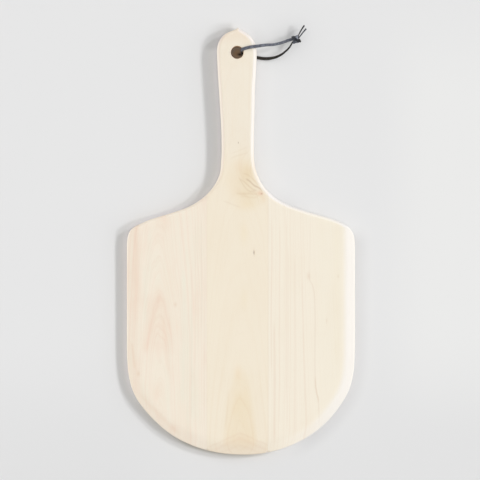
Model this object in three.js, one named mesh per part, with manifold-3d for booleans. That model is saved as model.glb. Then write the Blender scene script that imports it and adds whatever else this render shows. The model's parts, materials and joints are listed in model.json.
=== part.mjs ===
// Wooden pizza peel with a knotted leather hanging lace.
// Units are millimetres. The peel stands upright: +Z runs from the blade's far
// edge up the handle, the front (pizza) face looks toward -Y, and +X is to the
// right when the front face is looked at. The origin is the middle of the
// blade's far edge, in the middle of the board's thickness.
import * as THREE from 'three';
import { mergeVertices } from 'three/addons/utils/BufferGeometryUtils.js';
import Module from 'manifold-3d';

const wasm = await Module();
wasm.setup();

// ---------------------------------------------------------- board dimensions
const BOARD_T = 17;            // thickness
const FACE_Y = BOARD_T / 2;    // rear face at +FACE_Y, front face at -FACE_Y
const BLADE_HALF_W = 152.7;
const FRONT_ROUND = 5;         // roundover along the front arris
const REAR_ROUND = 3;          // roundover along the rear arris
const ROUND_STEPS = 3;
const ROUND_OVERRUN = 30;      // how far each rounding plate passes the opposite face
const TAPER_W = 16.5;          // width of the sloping lead-in on the front of the blade
const TAPER_D = 5.8;           // how far the lead-in drops at the blade's edge
const TAPER_TOP_Z = 260;       // outline points below this shape the lead-in
const TAPER_OVERRUN = 60;      // how far its plate passes the rear face and handle tip
const JOINT_LEFT = -45.5;      // glue line between the left and centre staves
const JOINT_RIGHT = 36;        // glue line between the centre and right staves
const BEYOND = 700;            // farther from the origin than any part of the board

const HOLE_X = -5.2;           // hanging hole
const HOLE_Z = 537.9;
const HOLE_R = 8.3;
const HOLE_FLARE = 0.9;        // small chamfer at each mouth of the hole
const HOLE_SEGMENTS = 40;
const MOUTH_LIFT = 0.01;       // holds the chamfer's rim just clear of the face
const CUTTER_OVERRUN = 5;      // widening and lengthening of the cutter outside the board

// Right-hand edge of the board from the handle tip to the far edge, [x, z].
const RIGHT_EDGE = [
  [-3.8, 571.7], [0.8, 567.8], [4.2, 565.9], [7.3, 564.1], [9.7, 562.5], [11.6, 561.0],
  [13.4, 559.1], [15.0, 557.1], [16.5, 555.0], [17.7, 552.8], [18.9, 550.3], [19.7, 547.8],
  [20.4, 544.9], [20.9, 541.5], [21.1, 536.9], [20.9, 528.9], [19.9, 511.0], [18.9, 493.0],
  [18.3, 460.9], [17.6, 430.0], [17.4, 410.0], [17.5, 398.0], [18.3, 388.5], [19.5, 382.3],
  [21.3, 376.3], [23.6, 370.4], [26.6, 364.6], [30.0, 359.3], [34.0, 354.4], [38.3, 350.0],
  [43.0, 345.9], [48.5, 341.9], [55.2, 338.1], [63.3, 334.2], [73.5, 330.2], [87.9, 325.4],
  [104.4, 320.7], [119.6, 316.3], [130.2, 312.3], [137.4, 308.9], [141.3, 306.6], [143.9, 304.6],
  [145.7, 302.8], [147.2, 301.2], [148.2, 299.7], [149.0, 298.3], [149.8, 296.6], [150.7, 294.6],
  [151.4, 292.0], [152.0, 288.8], [152.4, 284.5], [152.7, 276.0], [152.7, 250.0], [152.7, 215.0],
  [152.7, 180.0], [152.6, 150.0], [152.2, 131.0], [151.0, 113.0], [149.1, 101.9], [146.8, 93.1],
  [144.1, 85.7], [140.7, 78.5], [135.6, 69.7], [127.1, 57.8], [118.0, 47.0], [109.5, 38.6],
  [100.4, 31.0], [90.3, 24.0], [79.1, 17.6], [66.8, 12.0], [53.5, 7.3], [39.5, 3.7], [24.9, 1.2],
  [12.0, 0.15],
];
const TIP_Z = RIGHT_EDGE[0][1];

// Left-hand edge from the far edge back up to the handle tip, [x, z].
const LEFT_EDGE = [
  [2.2, 0.0], [-13.9, 0.6], [-29.9, 2.5], [-45.1, 5.8], [-59.3, 10.0], [-72.2, 15.3],
  [-84.0, 21.2], [-94.3, 27.7], [-104.2, 35.1], [-116.2, 46.1], [-127.4, 58.2], [-135.3, 68.2],
  [-139.9, 75.2], [-143.1, 81.6], [-145.7, 88.0], [-148.2, 96.4], [-150.3, 106.8],
  [-151.8, 119.5], [-152.6, 137.0], [-152.7, 150.0], [-152.7, 180.0], [-152.7, 215.0],
  [-152.7, 250.0], [-152.7, 280.0], [-152.3, 286.8], [-151.8, 290.2], [-151.5, 292.5],
  [-151.0, 294.3], [-150.5, 296.0], [-149.7, 297.8], [-148.5, 299.6], [-146.8, 301.5],
  [-144.7, 303.4], [-141.6, 305.5], [-136.8, 308.0], [-129.5, 311.5], [-119.7, 315.4],
  [-104.1, 320.1], [-89.0, 324.8], [-75.5, 329.4], [-66.6, 333.5], [-59.2, 337.8],
  [-52.7, 342.3], [-47.3, 346.9], [-42.5, 351.7], [-38.4, 356.6], [-34.9, 361.7], [-32.2, 366.4],
  [-30.2, 370.7], [-28.8, 374.7], [-27.8, 378.7], [-27.0, 384.0], [-26.7, 392.0], [-25.9, 402.0],
  [-26.0, 418.0], [-26.4, 436.0], [-28.4, 470.1], [-30.6, 504.2], [-31.6, 522.0], [-32.2, 536.0],
  [-32.2, 540.0], [-32.1, 542.9], [-31.7, 546.1], [-31.1, 548.6], [-30.5, 550.6], [-29.7, 552.3],
  [-28.8, 554.0], [-27.7, 555.7], [-26.6, 557.8], [-24.8, 559.8], [-22.6, 561.9], [-19.9, 564.0],
  [-16.4, 565.6], [-12.0, 567.3], [-8.5, 568.8],
];

// ----------------------------------------------------------- lace dimensions
const LACE_W = 4.2;            // leather lace, flat strip
const LACE_T = 1.8;
const TAIL_W = 4.0;            // the two cut tails are slightly slimmer
const TAIL_T = 1.5;
const CORNER_CUT = 0.28;       // strip's corner chamfer as a share of its thickness
const LACE_GAP = 0.3;          // clearance of the lace over the board's faces
const PIECE_GAP = 0.3;         // clearance round the knot where other pieces meet it
const LOOP_ANGLE = THREE.MathUtils.degToRad(13); // loop's direction above +X
const LOOP_FOLD = 56;          // distance from the hole's centre to the loop's fold line
const FOLD_GAP = 1.9;          // half of the gap between pieces at the fold line
const BIGHT_END = LOOP_FOLD - FOLD_GAP;
const STRAND_START = LOOP_FOLD + FOLD_GAP;
const OVER_Y = FACE_Y + LACE_GAP + LACE_T / 2; // strip's middle over a face
const ARC_SAMPLES = 400;       // samples that locate a strip's stops along its length

// Stops of the strips: [along, across, y, then the same three for the direction
// of the strip's width]. Along runs from the hole's centre in the loop's
// direction, across is square to it in the board's plane.

// From the fold line over the front face, in through the hole, out behind and
// back over the rear face to the fold line.
const BIGHT_STOPS = [
  [BIGHT_END, -0.6, -3.9, 0, 1, 0],
  [48.5, -0.5, -6.5, 0, 1, 0],
  [41.5, 0.6, -9.0, 0, 1, 0],
  [35.2, 1.3, -OVER_Y, 0, 1, 0],
  [26.5, 2.1, -OVER_Y, 0, 1, 0],
  [18.0, 2.9, -OVER_Y, 0, 1, 0],
  [12.0, 2.8, -OVER_Y, 0, 1, 0],
  [8.7, 2.4, -OVER_Y + 0.05, 0, 1, 0],
  [6.8, 2.0, -OVER_Y + 0.9, 0, 1, 0],
  [6.1, 1.5, -OVER_Y + 2.9, 0, 1, 0],
  [6.1, 0, 0, 0, 1, 0],
  [6.1, -1.5, OVER_Y - 2.9, 0, 1, 0],
  [6.8, -2.0, OVER_Y - 0.9, 0, 1, 0],
  [8.7, -3.0, OVER_Y - 0.05, 0.3, 1, 0],
  [12.0, -5.2, OVER_Y, 0.45, 1, 0],
  [18.0, -8.6, OVER_Y, 0.45, 1, 0],
  [24.0, -11.8, OVER_Y, 0.45, 1, 0],
  [31.0, -15.1, OVER_Y, 0.35, 1, 0],
  [37.8, -17.2, OVER_Y, 0.15, 1, 0],
  [44.5, -18.1, 7.9, 0, 1, 0],
  [50.0, -18.1, 5.6, 0, 1, 0],
  [BIGHT_END, -17.6, 3.9, -0.1, 1, 0],
];

// Outer strands from the fold line to the knot.
const FRONT_STRAND_STOPS = [
  [STRAND_START, -0.6, -3.3, 0, 1, 0], [64.5, 0.0, -2.4, 0, 1, 0],
  [70.5, 0.8, -1.7, 0, 1, -0.1], [78.0, 1.2, -1.4, 0, 1, -0.2],
];
const REAR_STRAND_STOPS = [
  [STRAND_START, -16.6, 3.3, -0.2, 1, 0], [61.4, -15.0, 2.9, -0.4, 1, 0.3],
  [66.0, -12.4, 2.5, -0.6, 0.7, 1], [70.3, -8.9, 2.1, -0.4, 0.3, 1],
  [73.6, -4.9, 1.7, -0.1, 0, 1], [76.5, -1.6, 1.4, 0, 0, 1],
];

// Two cut tails from the knot to their free ends, edge on to the front.
const FRONT_TAIL_STOPS = [
  [81.5, 2.4, -0.7, 0, 0, 1], [84.0, 6.2, -0.7, 0, 0, 1],
  [89.0, 10.2, -0.8, 0, 0, 1], [97.2, 14.8, -0.9, 0, 0, 1],
];
const REAR_TAIL_STOPS = [
  [82.0, 0.6, 0.7, 0, 0, 1], [86.1, 4.3, 0.7, 0, 0, 1],
  [91.5, 7.6, 0.8, 0, 0, 1], [98.6, 10.4, 0.9, 0, 0, 1],
];

const KNOT_ALONG = 81.4;              // knot's centre in loop coordinates
const KNOT_ACROSS = -0.1;
const KNOT_CORE_R = [5.3, 4.3, 4.7];  // half sizes of the core in x, y, z
const TURN_R = 3.6;                   // ring radius of a turn before stretching
const TURN_TUBE_R = 1.45;
const TURN_STRETCH = [1.15, 0.92, 1.0];
// Tilt about X, then yaw about Y, in radians; shift from the centre along X.
const KNOT_TURNS = [
  { tilt: 0, yaw: -0.75, shift: -1.6 },
  { tilt: 0.3, yaw: 0.35, shift: 1.9 },
];

// ------------------------------------------------------------------- helpers
function solid(geometry) {
  geometry.deleteAttribute('normal');
  geometry.deleteAttribute('uv');
  const merged = mergeVertices(geometry, 1e-4);
  return new wasm.Manifold(new wasm.Mesh({
    numProp: 3,
    vertProperties: merged.attributes.position.array,
    triVerts: new Uint32Array(merged.index.array),
  }));
}

function toGeometry(manifold) {
  const mesh = manifold.getMesh();
  const geometry = new THREE.BufferGeometry();
  geometry.setAttribute('position', new THREE.BufferAttribute(mesh.vertProperties, 3));
  geometry.setIndex(new THREE.BufferAttribute(mesh.triVerts, 1));
  geometry.computeVertexNormals();
  return geometry;
}

function shapeFrom(points) {
  return new THREE.Shape(points.map(([x, y]) => new THREE.Vector2(x, y)));
}

// Plate cut from an [x, z] outline, from frontY to rearY, with both arrises
// bevelled inside the outline.
function plate(outline, { frontY, rearY, bevelWidth, bevelDepth, bevelSteps }) {
  const geometry = new THREE.ExtrudeGeometry(shapeFrom(outline), {
    depth: rearY - frontY - 2 * bevelDepth,
    steps: 1,
    curveSegments: 1,
    bevelEnabled: true,
    bevelSize: bevelWidth,
    bevelThickness: bevelDepth,
    bevelSegments: bevelSteps,
    bevelOffset: -bevelWidth,
  });
  geometry.rotateX(Math.PI / 2);          // depth now runs toward -Y
  geometry.translate(0, rearY - bevelDepth, 0);
  return solid(geometry);
}

// --------------------------------------------------------------------- board
function roundedPlate(frontY, rearY, radius) {
  return plate([...RIGHT_EDGE, ...LEFT_EDGE], {
    frontY, rearY, bevelWidth: radius, bevelDepth: radius, bevelSteps: ROUND_STEPS,
  });
}

// Thins the blade's front toward its two sides and its far edge: the same far
// edge outline, with the sides carried straight up past the handle tip.
function taperPlate() {
  const isLow = ([, z]) => z < TAPER_TOP_Z;
  const topZ = TIP_Z + TAPER_OVERRUN;
  const outline = [
    [BLADE_HALF_W, topZ],
    ...RIGHT_EDGE.filter(isLow),
    ...LEFT_EDGE.filter(isLow),
    [-BLADE_HALF_W, topZ],
  ];
  return plate(outline, {
    frontY: -FACE_Y,
    rearY: FACE_Y + TAPER_OVERRUN,
    bevelWidth: TAPER_W,
    bevelDepth: TAPER_D,
    bevelSteps: 1,
  });
}

// Cutter for the hanging hole, with a small chamfer at each mouth.
function holeCutter() {
  const mouthY = FACE_Y + MOUTH_LIFT;
  const endY = mouthY + CUTTER_OVERRUN;
  const mouthR = HOLE_R + HOLE_FLARE;
  const endR = mouthR + CUTTER_OVERRUN;
  const profile = [
    [0, -endY], [endR, -endY], [mouthR, -mouthY], [HOLE_R, -mouthY + HOLE_FLARE],
    [HOLE_R, mouthY - HOLE_FLARE], [mouthR, mouthY], [endR, endY], [0, endY],
  ].map(([radius, y]) => new THREE.Vector2(radius, y));
  const geometry = new THREE.LatheGeometry(profile, HOLE_SEGMENTS);
  geometry.translate(HOLE_X, 0, HOLE_Z);
  return solid(geometry);
}

// One plate rounds the front arris and another the rear.
const board = roundedPlate(-FACE_Y, FACE_Y + ROUND_OVERRUN, FRONT_ROUND)
  .intersect(roundedPlate(-FACE_Y - ROUND_OVERRUN, FACE_Y, REAR_ROUND))
  .intersect(taperPlate())
  .subtract(holeCutter());

// The edge-glued staves meet face to face on the two glue lines.
function stave(leftX, rightX) {
  const slab = new THREE.BoxGeometry(rightX - leftX, 2 * BEYOND, 2 * BEYOND);
  slab.translate((leftX + rightX) / 2, 0, 0);
  return board.intersect(solid(slab));
}

// ---------------------------------------------------------------------- lace
// Loop coordinates turned into x, y, z.
function loopVector(along, across, y) {
  const cos = Math.cos(LOOP_ANGLE);
  const sin = Math.sin(LOOP_ANGLE);
  return new THREE.Vector3(along * cos - across * sin, y, along * sin + across * cos);
}

function loopPoint(along, across, y) {
  return loopVector(along, across, y).add(new THREE.Vector3(HOLE_X, 0, HOLE_Z));
}

// Flat section with its four corners cut.
function stripSection(width, thickness) {
  const x = width / 2;
  const y = thickness / 2;
  const cut = thickness * CORNER_CUT;
  return shapeFrom([
    [-x + cut, -y], [x - cut, -y], [x, -y + cut], [x, y - cut],
    [x - cut, y], [-x + cut, y], [-x, y - cut], [-x, -y + cut],
  ]);
}

// Flat strip through the stops, its width turning smoothly from stop to stop.
function strip(stops, steps, width = LACE_W, thickness = LACE_T) {
  const points = stops.map((stop) => loopPoint(...stop.slice(0, 3)));
  const curve = new THREE.CatmullRomCurve3(points, false, 'centripetal');
  const widthDirs = stops.map((stop) => loopVector(...stop.slice(3)).normalize());
  const lengths = curve.getLengths(ARC_SAMPLES);
  const stopShares = stops.map((_, i) => (
    lengths[Math.round(i / (stops.length - 1) * ARC_SAMPLES)] / lengths[ARC_SAMPLES]
  ));

  // Frames led by the stops' width directions replace the curve's own.
  curve.computeFrenetFrames = (count) => {
    const frames = { tangents: [], normals: [], binormals: [] };
    let k = 0;
    for (let i = 0; i <= count; i++) {
      const share = i / count;
      while (k < stops.length - 2 && share > stopShares[k + 1]) k++;
      const blend = THREE.MathUtils.smoothstep(share, stopShares[k], stopShares[k + 1]);
      const tangent = curve.getTangentAt(share).normalize();
      const across = widthDirs[k].clone().lerp(widthDirs[k + 1], blend);
      across.addScaledVector(tangent, -across.dot(tangent)).normalize();
      frames.tangents.push(tangent);
      frames.normals.push(across);
      frames.binormals.push(new THREE.Vector3().crossVectors(tangent, across));
    }
    return frames;
  };
  return solid(new THREE.ExtrudeGeometry(stripSection(width, thickness), {
    steps, curveSegments: 1, extrudePath: curve, bevelEnabled: false,
  }));
}

// Knot: a rounded core with two turns of the lace drawn round it, all grown
// outward by the given amount.
const knotCentre = loopPoint(KNOT_ALONG, KNOT_ACROSS, 0);

function knotCore(grow) {
  const geometry = new THREE.SphereGeometry(1, 18, 12);
  geometry.scale(...KNOT_CORE_R.map((radius) => radius + grow));
  geometry.translate(...knotCentre);
  return solid(geometry);
}

function knotTurn({ tilt, yaw, shift }, grow) {
  const geometry = new THREE.TorusGeometry(TURN_R, TURN_TUBE_R + grow, 10, 22);
  geometry.rotateY(Math.PI / 2);          // ring's axis now runs along X
  geometry.scale(...TURN_STRETCH);
  geometry.rotateX(tilt);
  geometry.rotateY(yaw);
  geometry.translate(knotCentre.x + shift, knotCentre.y, knotCentre.z);
  return solid(geometry);
}

function knot(grow) {
  return KNOT_TURNS.reduce((body, turn) => body.add(knotTurn(turn, grow)), knotCore(grow));
}

const knotRoom = knot(PIECE_GAP);

function stripAtKnot(...stripArgs) {
  return strip(...stripArgs).subtract(knotRoom);
}

// ------------------------------------------------------------------ assembly
function matt(color, roughness) {
  return new THREE.MeshStandardMaterial({ color, roughness, metalness: 0 });
}
const wood = (color) => matt(color, 0.62);
const smoothLeather = (color) => matt(color, 0.55);
const dullLeather = (color) => matt(color, 0.6);

// Group of meshes from [name, solid, material] rows.
function group(pieces) {
  const result = new THREE.Group();
  for (const [name, manifold, material] of pieces) {
    const mesh = new THREE.Mesh(toGeometry(manifold), material);
    mesh.name = name;
    result.add(mesh);
  }
  return result;
}

const root = new THREE.Group();
root.add(group([
  ['stave_left', stave(-BEYOND, JOINT_LEFT), wood(0xf1e4d4)],
  ['stave_centre', stave(JOINT_LEFT, JOINT_RIGHT), wood(0xf0e3cd)],
  ['stave_right', stave(JOINT_RIGHT, BEYOND), wood(0xf3ead8)],
]));
root.add(group([
  ['lace_bight', strip(BIGHT_STOPS, 84), smoothLeather(0x3c3e43)],
  ['lace_front_strand', stripAtKnot(FRONT_STRAND_STOPS, 12), smoothLeather(0x4a4d54)],
  ['lace_rear_strand', stripAtKnot(REAR_STRAND_STOPS, 22), dullLeather(0x2c2824)],
  ['lace_knot', knot(0), smoothLeather(0x24272c)],
  ['lace_tail_front', stripAtKnot(FRONT_TAIL_STOPS, 14, TAIL_W, TAIL_T), dullLeather(0x2e3035)],
  ['lace_tail_rear', stripAtKnot(REAR_TAIL_STOPS, 14, TAIL_W, TAIL_T), dullLeather(0x3a3c40)],
]));

export default root;
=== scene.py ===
"""A wooden pizza peel with a knotted leather lace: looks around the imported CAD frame.

The peel stands upright in the XZ plane. Its blade starts at Z = 0, its handle points to +Z, and
its front faces -Y. Shapes are worked out in millimetres; objects are built in metres.
"""
import json
import math

import bpy
import numpy as np
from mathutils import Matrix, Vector, noise
from mathutils.geometry import delaunay_2d_cdt

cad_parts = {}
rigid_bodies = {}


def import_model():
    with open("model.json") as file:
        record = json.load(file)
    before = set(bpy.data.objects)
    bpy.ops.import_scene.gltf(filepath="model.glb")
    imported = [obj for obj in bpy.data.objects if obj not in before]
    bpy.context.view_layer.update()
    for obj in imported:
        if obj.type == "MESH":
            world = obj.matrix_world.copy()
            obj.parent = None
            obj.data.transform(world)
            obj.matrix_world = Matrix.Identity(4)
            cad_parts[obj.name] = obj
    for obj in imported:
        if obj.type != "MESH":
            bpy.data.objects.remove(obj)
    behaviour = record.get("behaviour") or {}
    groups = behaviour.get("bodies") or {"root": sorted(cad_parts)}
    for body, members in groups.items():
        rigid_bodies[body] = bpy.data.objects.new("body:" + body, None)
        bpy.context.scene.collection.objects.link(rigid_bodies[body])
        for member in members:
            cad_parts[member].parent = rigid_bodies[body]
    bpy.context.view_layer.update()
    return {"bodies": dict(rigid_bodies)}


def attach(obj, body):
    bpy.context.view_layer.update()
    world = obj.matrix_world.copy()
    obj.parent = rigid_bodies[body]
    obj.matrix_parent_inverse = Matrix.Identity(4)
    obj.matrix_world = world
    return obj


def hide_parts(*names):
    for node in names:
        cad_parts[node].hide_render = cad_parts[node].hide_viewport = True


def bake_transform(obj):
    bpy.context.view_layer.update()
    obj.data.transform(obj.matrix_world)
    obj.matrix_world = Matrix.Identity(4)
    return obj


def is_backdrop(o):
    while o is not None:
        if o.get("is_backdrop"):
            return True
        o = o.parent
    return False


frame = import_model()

MM = 0.001
SCENE = bpy.context.scene

# =====================================================================
# Board dimensions, millimetres
# =====================================================================
HALF_W = 152.7                          # half the blade's width
HALF_T = 8.5                            # half the board's thickness
TAPER_W, TAPER_D = 21.0, 5.5            # lead-in on the blade's front: width and depth
TAPER_BLEND = 0.55                      # share of the lead-in that curves before it runs straight
LEAD_TOP = 262.0                        # height where the traced lead-in edge turns straight up
FRONT_R, RIM_R, REAR_R = 6.0, 1.2, 2.6  # edge roundings
JOINT_L, JOINT_R = -45.5, 36.0          # X of the glue joints
HOLE = (-5.2, 537.9)                    # X, Z of the lace hole
HOLE_R = 8.3
HOLE_EASE = 1.3
HOLE_SEGMENTS = 64
CHECK_AT = (17.2, 270.6)                # X, Z of a small open check in the centre stave
CHECK_SIZE, CHECK_DEPTH = (0.38, 2.1), 0.75
OUTLINE_STEP = 1.5

# Mesh rings: distances inward from the outline and the lead-in edge, outward from the hole
RIM_RINGS = (0.2, 0.55, 1.0, 1.6, 2.3, 3.1, 4.0, 5.0, 6.1, 7.4)
LEAD_RINGS = (9.2, 11.0, 12.8, 14.6, 16.4, 18.2, 20.0, 21.6)
HOLE_RINGS = (0.1, 0.3, 0.6, 0.95, 1.35, 2.0, 3.0, 4.4)
GRID_X, GRID_Z = 3.4, 3.9
JOINT_CLEARANCE = 1.1

# Outline as (X, Z): from the handle's tip down the right side, round the blade, up the left side
EDGE_POINTS = [
    (-3.8, 571.7), (-2.9, 570.7), (-1.5, 569.4), (0.7, 567.9), (4.2, 565.9), (7.3, 564.1),
    (9.7, 562.5), (11.6, 561.0), (13.4, 559.1), (15.0, 557.1), (16.5, 555.0), (17.7, 552.8),
    (18.9, 550.3), (19.7, 547.8), (20.4, 544.9), (20.9, 541.5), (21.1, 536.9), (20.9, 528.9),
    (19.9, 511.0), (18.9, 493.0), (18.3, 460.9), (17.6, 430.0), (17.4, 410.0), (17.5, 398.0),
    (18.3, 388.5), (19.5, 382.3), (21.3, 376.3), (23.6, 370.4), (26.6, 364.6), (30.0, 359.3),
    (34.0, 354.4), (38.3, 350.0), (43.0, 345.9), (48.5, 341.9), (55.2, 338.1), (63.3, 334.2),
    (73.5, 330.2), (87.9, 325.4), (104.4, 320.7), (119.6, 316.3), (130.2, 312.3), (137.4, 308.9),
    (141.3, 306.6), (143.9, 304.6), (145.7, 302.8), (147.2, 301.2), (148.2, 299.7),
    (149.0, 298.3), (149.8, 296.6), (150.7, 294.6), (151.4, 292.0), (152.0, 288.8),
    (152.4, 284.5), (152.7, 276.0), (152.7, 250.0), (152.7, 215.0), (152.7, 180.0),
    (152.6, 150.0), (152.2, 131.0), (151.0, 113.0), (149.1, 101.9), (146.8, 93.1), (144.1, 85.7),
    (140.7, 78.5), (135.6, 69.7), (127.1, 57.8), (118.0, 47.0), (109.5, 38.6), (100.4, 31.0),
    (90.3, 24.0), (79.1, 17.6), (66.8, 12.0), (53.5, 7.3), (39.5, 3.7), (24.9, 1.2), (12.0, 0.15),
    (2.2, 0.0), (-13.9, 0.6), (-29.9, 2.5), (-45.1, 5.8), (-59.3, 10.0), (-72.2, 15.3),
    (-84.0, 21.2), (-94.3, 27.7), (-104.2, 35.1), (-116.2, 46.1), (-127.4, 58.2), (-135.3, 68.2),
    (-139.9, 75.2), (-143.1, 81.6), (-145.7, 88.0), (-148.2, 96.4), (-150.3, 106.8),
    (-151.8, 119.5), (-152.6, 137.0), (-152.7, 150.0), (-152.7, 180.0), (-152.7, 215.0),
    (-152.7, 250.0), (-152.7, 280.0), (-152.3, 286.8), (-151.8, 290.2), (-151.5, 292.5),
    (-151.0, 294.3), (-150.5, 296.0), (-149.7, 297.8), (-148.5, 299.6), (-146.8, 301.5),
    (-144.7, 303.4), (-141.6, 305.5), (-136.8, 308.0), (-129.5, 311.5), (-119.7, 315.4),
    (-104.1, 320.1), (-89.0, 324.8), (-75.5, 329.4), (-66.6, 333.5), (-59.2, 337.8),
    (-52.7, 342.3), (-47.3, 346.9), (-42.5, 351.7), (-38.4, 356.6), (-34.9, 361.7),
    (-32.2, 366.4), (-30.2, 370.7), (-28.8, 374.7), (-27.8, 378.7), (-27.0, 384.0),
    (-26.7, 392.0), (-25.9, 402.0), (-26.0, 418.0), (-26.4, 436.0), (-28.4, 470.1),
    (-30.6, 504.2), (-31.6, 522.0), (-32.2, 536.0), (-32.2, 540.0), (-32.1, 542.9),
    (-31.7, 546.1), (-31.1, 548.6), (-30.5, 550.6), (-29.7, 552.3), (-28.8, 554.0),
    (-27.7, 555.7), (-26.6, 557.8), (-24.8, 559.8), (-22.6, 561.9), (-19.9, 564.0),
    (-16.4, 565.6), (-11.6, 567.4), (-6.9, 569.3), (-4.9, 570.6),
]


# =====================================================================
# Curves and distances
# =====================================================================
def arc_lengths(points):
    return np.r_[0, np.cumsum(np.linalg.norm(np.diff(points, axis=0), axis=1))]


def smooth_path(points, step):
    """Hermite curve through the points, resampled at about one step."""
    knots = np.array(points, float)
    gaps = np.linalg.norm(np.diff(knots, axis=0), axis=1)
    times = np.r_[0, np.cumsum(np.maximum(gaps, 1e-9) ** 0.75)]
    slopes = np.empty_like(knots)
    slopes[1:-1] = (knots[2:] - knots[:-2]) / (times[2:] - times[:-2])[:, None]
    slopes[0] = (knots[1] - knots[0]) / (times[1] - times[0])
    slopes[-1] = (knots[-1] - knots[-2]) / (times[-1] - times[-2])
    pieces = []
    for i in range(len(knots) - 1):
        span = times[i + 1] - times[i]
        count = max(4, int(gaps[i] / step * 6) + 2)
        t = np.linspace(0, 1, count, endpoint=False)[:, None]
        pieces.append((2 * t**3 - 3 * t**2 + 1) * knots[i]
                      + (t**3 - 2 * t**2 + t) * span * slopes[i]
                      + (-2 * t**3 + 3 * t**2) * knots[i + 1]
                      + (t**3 - t**2) * span * slopes[i + 1])
    dense = np.vstack(pieces + [knots[-1:]])
    arc = arc_lengths(dense)
    even = np.linspace(0, arc[-1], int(round(arc[-1] / step)) + 1)
    return np.stack([np.interp(even, arc, column) for column in dense.T], 1)


def relax(path, rounds, keep=2):
    """Irons small kinks out of a path; the points at its ends stay."""
    for _ in range(rounds):
        ironed = path.copy()
        ironed[1:-1] = 0.5 * path[1:-1] + 0.25 * (path[:-2] + path[2:])
        ironed[:keep], ironed[-keep:] = path[:keep], path[-keep:]
        path = ironed
    return path


def distance(points, line, closed=True):
    """Distance from each point to a polyline, worked out in batches."""
    start = line if closed else line[:-1]
    along = (np.roll(line, -1, 0) if closed else line[1:]) - start
    squared = np.maximum((along**2).sum(1), 1e-12)
    result = np.empty(len(points))
    batch = 1500
    for i in range(0, len(points), batch):
        block = points[i:i + batch, None, :]
        share = np.clip(((block - start) * along).sum(2) / squared, 0, 1)
        offset = block - (start + share[..., None] * along)
        result[i:i + batch] = np.sqrt((offset**2).sum(2).min(1))
    return result


def inside(points, poly):
    x, z = points[:, 0], points[:, 1]
    hit = np.zeros(len(points), bool)
    for (x0, z0), (x1, z1) in zip(poly, np.roll(poly, -1, 0)):
        if z0 == z1:
            continue
        hit ^= ((z0 > z) != (z1 > z)) & (x < (x1 - x0) * (z - z0) / (z1 - z0) + x0)
    return hit


def clip_x(poly, limit, keep_less):
    """Clips a closed polygon by a vertical line."""
    clipped = []
    sign = 1 if keep_less else -1
    for i, here in enumerate(poly):
        after = poly[(i + 1) % len(poly)]
        here_in, after_in = sign * (limit - here[0]) >= 0, sign * (limit - after[0]) >= 0
        if here_in:
            clipped.append(here)
        if here_in != after_in:
            share = (limit - here[0]) / (after[0] - here[0])
            clipped.append(np.array([limit, here[1] + share * (after[1] - here[1])]))
    return np.array(clipped)


OUTLINE = relax(smooth_path(EDGE_POINTS + EDGE_POINTS[:1], OUTLINE_STEP), 5)[:-1]
# The lead-in follows the blade's lower edge; its sides run straight up past the board
LEAD = np.array([[HALF_W, 760.0]] + [p for p in OUTLINE.tolist() if p[1] < LEAD_TOP]
                + [[-HALF_W, 760.0]])


def roundover(edge, radius):
    inward = np.clip(radius - edge, 0, radius)
    return radius - np.sqrt(np.maximum(radius * radius - inward * inward, 0))


def lead_in(edge):
    t = np.clip(1 - edge / TAPER_W, 0, 1)
    rise = np.where(t < TAPER_BLEND, t * t / (2 * TAPER_BLEND), t - TAPER_BLEND / 2)
    return TAPER_D * rise / (1 - TAPER_BLEND / 2)


def surfaces(points):
    """Y of the front and rear faces over the points, and each point's distance from the outline."""
    edge = distance(points, OUTLINE)
    tapered = lead_in(distance(points, LEAD, closed=False)) + roundover(edge, RIM_R)
    rounded = roundover(edge, FRONT_R)
    from_hole = np.maximum(np.hypot(*(points - HOLE).T) - HOLE_R, 0)
    ease = roundover(from_hole, HOLE_EASE)
    check = (((points - CHECK_AT) / CHECK_SIZE)**2).sum(1)
    front = -HALF_T + (tapered**5 + rounded**5) ** 0.2 + ease + CHECK_DEPTH * np.exp(-check)
    return front, HALF_T - roundover(edge, REAR_R) - ease, edge


# =====================================================================
# Mesh helpers
# =====================================================================
def new_object(name, verts, faces):
    mesh = bpy.data.meshes.new(name)
    mesh.from_pydata(verts, [], faces)
    mesh.update()
    ob = bpy.data.objects.new(name, mesh)
    SCENE.collection.objects.link(ob)
    return ob


def shade(ob, sharp_degrees):
    ob.data.shade_smooth()
    ob.data.set_sharp_from_angle(angle=math.radians(sharp_degrees))


def set_attribute(ob, name, values):
    attribute = ob.data.attributes.new(name, "FLOAT", "POINT")
    attribute.data.foreach_set("value", np.asarray(values, np.float32))


def dress(ob, material, body, node):
    ob.data.materials.append(material)
    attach(ob, body)
    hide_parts(node)


# =====================================================================
# Staves
# =====================================================================
def offset_ring(line, inset, closed=True):
    """Points set inward from a path; only those that really are that far away."""
    after = np.roll(line, -1, 0)
    tangent = after - np.roll(line, 1, 0)
    if not closed:
        tangent[0], tangent[-1] = line[1] - line[0], line[-1] - line[-2]
    tangent /= np.maximum(np.linalg.norm(tangent, axis=1), 1e-9)[:, None]
    normal = np.stack([-tangent[:, 1], tangent[:, 0]], 1)
    area = 0.5 * np.sum(line[:, 0] * after[:, 1] - after[:, 0] * line[:, 1])
    ring = line + normal * inset * (1 if area > 0 else -1)
    return ring[distance(ring, line, closed) > 0.985 * inset]


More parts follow.
